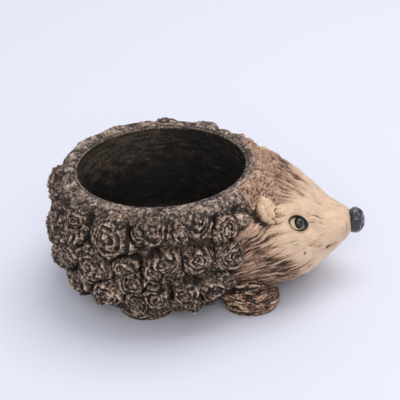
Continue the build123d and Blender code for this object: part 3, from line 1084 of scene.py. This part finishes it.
beadForm = {"radius": 2.6, "sink": {"right": 0.55, "left": 1.0}, "back": 0.4, "segments": 48, "rings": 32}
for side in sides:
    low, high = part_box(side + "_eye")
    _, along, _, out = eyeSeats[side]
    place = (low + high) / 2 - (out * beadForm["sink"][side] + along * beadForm["back"]) * mm
    bead = addBall(side + "EyeBead", beadForm, beadForm["radius"], place)
    bakePlace(bead)
    ridge = 0.45 + 0.2 * mottle(getPoints(bead), 2.0, 82)
    finishPiece(bead, [side + "_eye"], "eye_gloss", eyeGlaze, ridge)
print("eyes set")

# ears
earForm = {"length": 13.4, "width": 10.2, "thickness": 3.0, "sides": 80, "rings": 24}
earCake, earPlaces = roundCake(earForm["sides"], earForm["rings"])
reach = np.linalg.norm(earPlaces[:, :2], axis=1)
across, rise, thick = earPlaces.T
for side, seat in earSeats.items():
    flat = np.column_stack([across * earForm["width"] / 2, rise * earForm["length"] / 2])
    spots = np.column_stack([flat, np.full(len(flat), 5.0 * sides[side])])
    front = smoothStep(-0.5, 0.8, across)  # the front edge runs out into the face
    height = earForm["thickness"] * (0.3 + 0.7 * (1 - reach**4)) * (1 - front) + 0.25
    height -= 1.2 * smoothStep(0.62, 0.98, across)
    mark = thumbMarks(flat[:, 0], flat[:, 1])
    dent = np.exp(-(((across - 0.1) / 0.4) ** 2) - (((rise + 0.05) / 0.6) ** 2))
    pit = bell(np.hypot(across + 0.1, rise - 0.72), 0, 0.1)
    lumps = mottle(spots, 3.5, 83)
    grit = mottle(spots, 1.3, 84)
    height = height - 0.4 * dent - 0.3 * mark - 0.7 * pit + 0.3 * lumps + 0.1 * grit
    height = np.where(thick > 0, height, -4.0)
    edge = smoothStep(1.02, 0.85, reach)
    height = np.where(thick > 0, height * edge - 0.9 * (1 - edge), height)
    # painted shade in the thumbnail marks and the pit, and along the rear edge under its overhang
    ridge = 0.5 + 0.12 * lumps + 0.12 * grit - 0.75 * mark - 0.6 * pit
    ridge -= 0.6 * (1 - edge) * smoothStep(0.2, -0.6, across)
    places = onSeat(seat, flat, height)
    tone = np.zeros(len(ridge))
    layOnHead(earCake, side + "Ear", places, [side + "_ear"], "face_tan", faceResin, ridge, tone)
bpy.data.objects.remove(earCake)
print("ears laid on")

# forehead mat, tightly curled fur from the rim down the brow
matForm = {
    "middleX": 25.0,
    "halfLength": 19.0,
    "halfWidth": 27.0,
    "thickness": 1.3,
    "sides": 208,
    "rings": 60,
    "rimEdge": 41.4,  # mm from the pot's axis, as far in as the mat reaches
    # mm from the axis and the height that it doesn't go under there
    "overRim": ((43.0, 59.0), (44.5, 58.7), (46.0, 57.0), (47.5, 53.0), (49.0, 40.0)),
    "curledFrom": (38, 29),  # mm along X, between which the streaks turn to curls
    "edgeDepth": 0.8,
    "rootDepth": 2.5,
    "highest": 60.3,
}
mat, matPlaces = roundCake(matForm["sides"], matForm["rings"])
mat.name = "foreheadMat"
matTop = matPlaces[:, 2] > 0
reach = np.linalg.norm(matPlaces[:, :2], axis=1)
spotX = matForm["middleX"] + matPlaces[:, 0] * matForm["halfLength"]
spotY = matPlaces[:, 1] * matForm["halfWidth"]
width, height, level = headSizes(spotX)
places = np.column_stack([spotX, spotY, level + height * np.sqrt(np.clip(1 - (spotY / width) ** 2, 0, 1))])
away, turn = polarOf(places)
away = np.maximum(away, matForm["rimEdge"])
places[:, 0] = potWall["axisX"] + away * np.cos(turn)
places[:, 1] = away * np.sin(turn)
overRim = np.interp(away, *zip(*matForm["overRim"]))
places[:, 2] = np.maximum(places[:, 2], overRim)
flow = furFlow(places)[0]
lumps = mottle(places, 4.5, 91)
curlBase = places + 2.0 * np.column_stack([mottle(places, 3.4, 92), mottle(places, 3.4, 93), lumps])
curl = lines(mottle(curlBase, 1.7, 94), 0.34)
gaps = lines(mottle(curlBase + 1.1, 1.8, 90), 0.24)
grit = mottle(places, 1.0, 95)
relief, ridge, fur = faceRelief(places)
curled = smoothStep(*matForm["curledFrom"], places[:, 0] + 3 * lumps + 1.5 * mottle(flow, 1.8, 79))
edge = smoothStep(1.0, 0.8, reach) * smoothStep(41.5, 43.2, away)
pattern = curled * (0.7 * curl - 0.8 * gaps + 0.2 * grit) + (1 - curled) * relief
raised = (matForm["thickness"] * curled + 0.15) * edge - matForm["edgeDepth"] * (1 - edge)
raised = raised + pattern * edge + 0.3 * lumps * edge * curled
out = np.column_stack([np.full(len(places), 0.45), places[:, 1] / 45, np.ones(len(places))])
out /= np.linalg.norm(out, axis=1)[:, None]
places = places + out * np.where(matTop, raised, -matForm["rootDepth"])[:, None]
places[:, 2] = np.minimum(places[:, 2], matForm["highest"])
setPoints(mat, places)
setMode("EDIT")
faceOutwards()
bpy.ops.object.shade_smooth()
ridge = ridge + curled * (0.25 * curl - 0.42 * gaps + 0.2 * grit + 0.58 - ridge)
finishPiece(mat, ["forehead_mat"], "brow_brown", faceResin, ridge, np.maximum(fur, curled))
print("forehead mat curled")

# nose
noseForm = {
    "middle": (69.3, 0, 27.8),
    "sizes": (4.4, 5.8, 6.1),
    "nostril": (72.4, 3.0, 26.6),
    "segments": 72,
    "rings": 48,
}
nose = addBall("noseButton", noseForm, 1, Vector(noseForm["middle"]) * mm)
nose.scale = noseForm["sizes"]
bakePlace(nose)
places = getPoints(nose)
normals = getNormals(nose)
lumps = mottle(places, 3.2, 96)
grit = mottle(places, 1.3, 97)
fromNostrils = [places - np.array(noseForm["nostril"]) * np.array((1, side, 1)) for side in (-1, 1)]
nostrils = sum(np.exp(-np.sum(away**2, axis=1) / 1.8) for away in fromNostrils)
setPoints(nose, places + normals * (0.45 * lumps + 0.12 * grit - 1.1 * nostrils)[:, None])
ridge = 0.5 + 0.3 * lumps + 0.15 * grit - 0.4 * nostrils
finishPiece(nose, ["nose"], "nose_black", noseGlaze, ridge)
print("nose put on")

# feet
footForm = {
    "segments": 192,
    "rings": 112,
    "hair": 0.6,
    "heightShare": 0.66,  # each foot is the top of a ball: its half height as a share of the foot's
    "middleShare": 0.34,  # and how far up its middle lies
    "front": {"back": 6.2, "ahead": -1.6, "outer": -1.8, "inner": 4.0, "tall": 16.5},  # mm beyond the CAD box
    "rear": {"back": -0.5, "ahead": 1.5, "outer": -1.8, "inner": 4.0, "tall": 13.0},
}
for side, sign in sides.items():
    for place in ("front", "rear"):
        node = side + "_" + place + "_foot"
        low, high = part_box(node)
        low, high = low / mm, high / mm
        foot = addBall(side + place.capitalize() + "Foot", footForm, 1, (0, 0, 0))
        grown = footForm[place]
        outer, inner = (grown["outer"], grown["inner"]) if sign < 0 else (grown["inner"], grown["outer"])
        low, high = low - Vector((grown["back"], outer, 0)), high + Vector((grown["ahead"], inner, 0))
        high.z = grown["tall"]
        middleX, middleY = (low.x + high.x) / 2, (low.y + high.y) / 2
        foot.scale = ((high.x - low.x) / 2, (high.y - low.y) / 2, high.z * footForm["heightShare"])
        foot.location = Vector((middleX, middleY, high.z * footForm["middleShare"])) * mm
        bakePlace(foot)
        places = getPoints(foot)
        normals = getNormals(foot)
        offset = places - np.array((middleX, middleY, 0))
        around = np.arctan2(offset[:, 2] - 4, -sign * offset[:, 1]) * 9  # hair lies along the foot
        sweep = np.column_stack([offset[:, 0] * 0.12, around + 0.02 * offset[:, 0] ** 2, offset[:, 2] * 0])
        wave = sweep + np.array([0.3, 1.3, 0.3]) * drift(places, 6, (101, 102, 103))
        hair = mottle(wave, 0.95, 104 + sign)
        cuts = lines(mottle(wave, 0.9, 106 + sign), 0.26)
        lumps = mottle(places, 5.5, 107)
        grit = mottle(places, 1.3, 108)
        relief = footForm["hair"] * (0.7 * hair - 0.7 * cuts + 0.6 * lumps + 0.3 * grit)
        relief *= smoothStep(0.0, 2.0, places[:, 2])
        places = places + normals * relief[:, None]
        places[:, 2] = np.maximum(places[:, 2], 0)
        setPoints(foot, places)
        lift = 0.02 if place == "front" else 0.0
        ridge = 0.56 + lift + 0.4 * hair - 0.6 * cuts + 0.1 * lumps + 0.26 * grit
        finishPiece(foot, [node], "dark_bark", footResin if place == "front" else barkResin, ridge)
print("feet stood")

# floor and light
studio = {
    "floorColour": "#DBDCE7",
    "keyPlace": (0.3, 0.25, 1.15),  # m
    "keyPower": 6.9,
    "keySize": 0.95,
    "fillPlace": (0.1, -1.1, 0.85),
    "fillPower": 5.5,
    "fillSize": 0.9,
    "aim": (0, 0, 0.03),
    "worldColour": "#F3F5FB",
    "worldStrength": 0.74,
    "seenStrength": 0.93,  # the backdrop past the floor, for the camera alone
}
clearSelection()
bpy.ops.mesh.primitive_plane_add(size=30, location=(0, 0, 0))
floor = bpy.context.object
floor.name = "studioFloor"
floorPaint = bpy.data.materials.new("mattPaper")  # no gloss, so that only soft shadows lie on it
floorPaint.use_nodes = True
look = {"Base Color": linearColour(studio["floorColour"]), "Roughness": 0.9, "Specular IOR Level": 0.1}
setInputs(floorPaint.node_tree.nodes["Principled BSDF"], look)
floor.data.materials.append(floorPaint)

world = bpy.context.scene.world or bpy.data.worlds.new("studioWorld")
bpy.context.scene.world = world
world.use_nodes = True
sky = world.node_tree.nodes["Background"]
setInputs(sky, {"Color": linearColour(studio["worldColour"])})
settings = {"To Min": studio["worldStrength"], "To Max": studio["seenStrength"]}
cameraRay = (addNode(world.node_tree, "LightPath", {}, {}), "Is Camera Ray")
seenOrNot = addNode(world.node_tree, "MapRange", settings, {"Value": cameraRay})
world.node_tree.links.new(seenOrNot.outputs["Result"], sky.inputs["Strength"])


def addSoftbox(kind):
    place = Vector(studio[kind + "Place"])
    clearSelection()
    bpy.ops.object.light_add(type="AREA", location=place)
    lamp = bpy.context.object
    lamp.name = kind + "Softbox"
    lamp.data.shape = "DISK"
    lamp.data.size = studio[kind + "Size"]
    lamp.data.energy = studio[kind + "Power"]
    lamp.rotation_euler = (Vector(studio["aim"]) - place).to_track_quat("-Z", "Y").to_euler()


addSoftbox("key")
addSoftbox("fill")
print("floor and light set")

bpy.context.scene.view_settings.view_transform = "Standard"
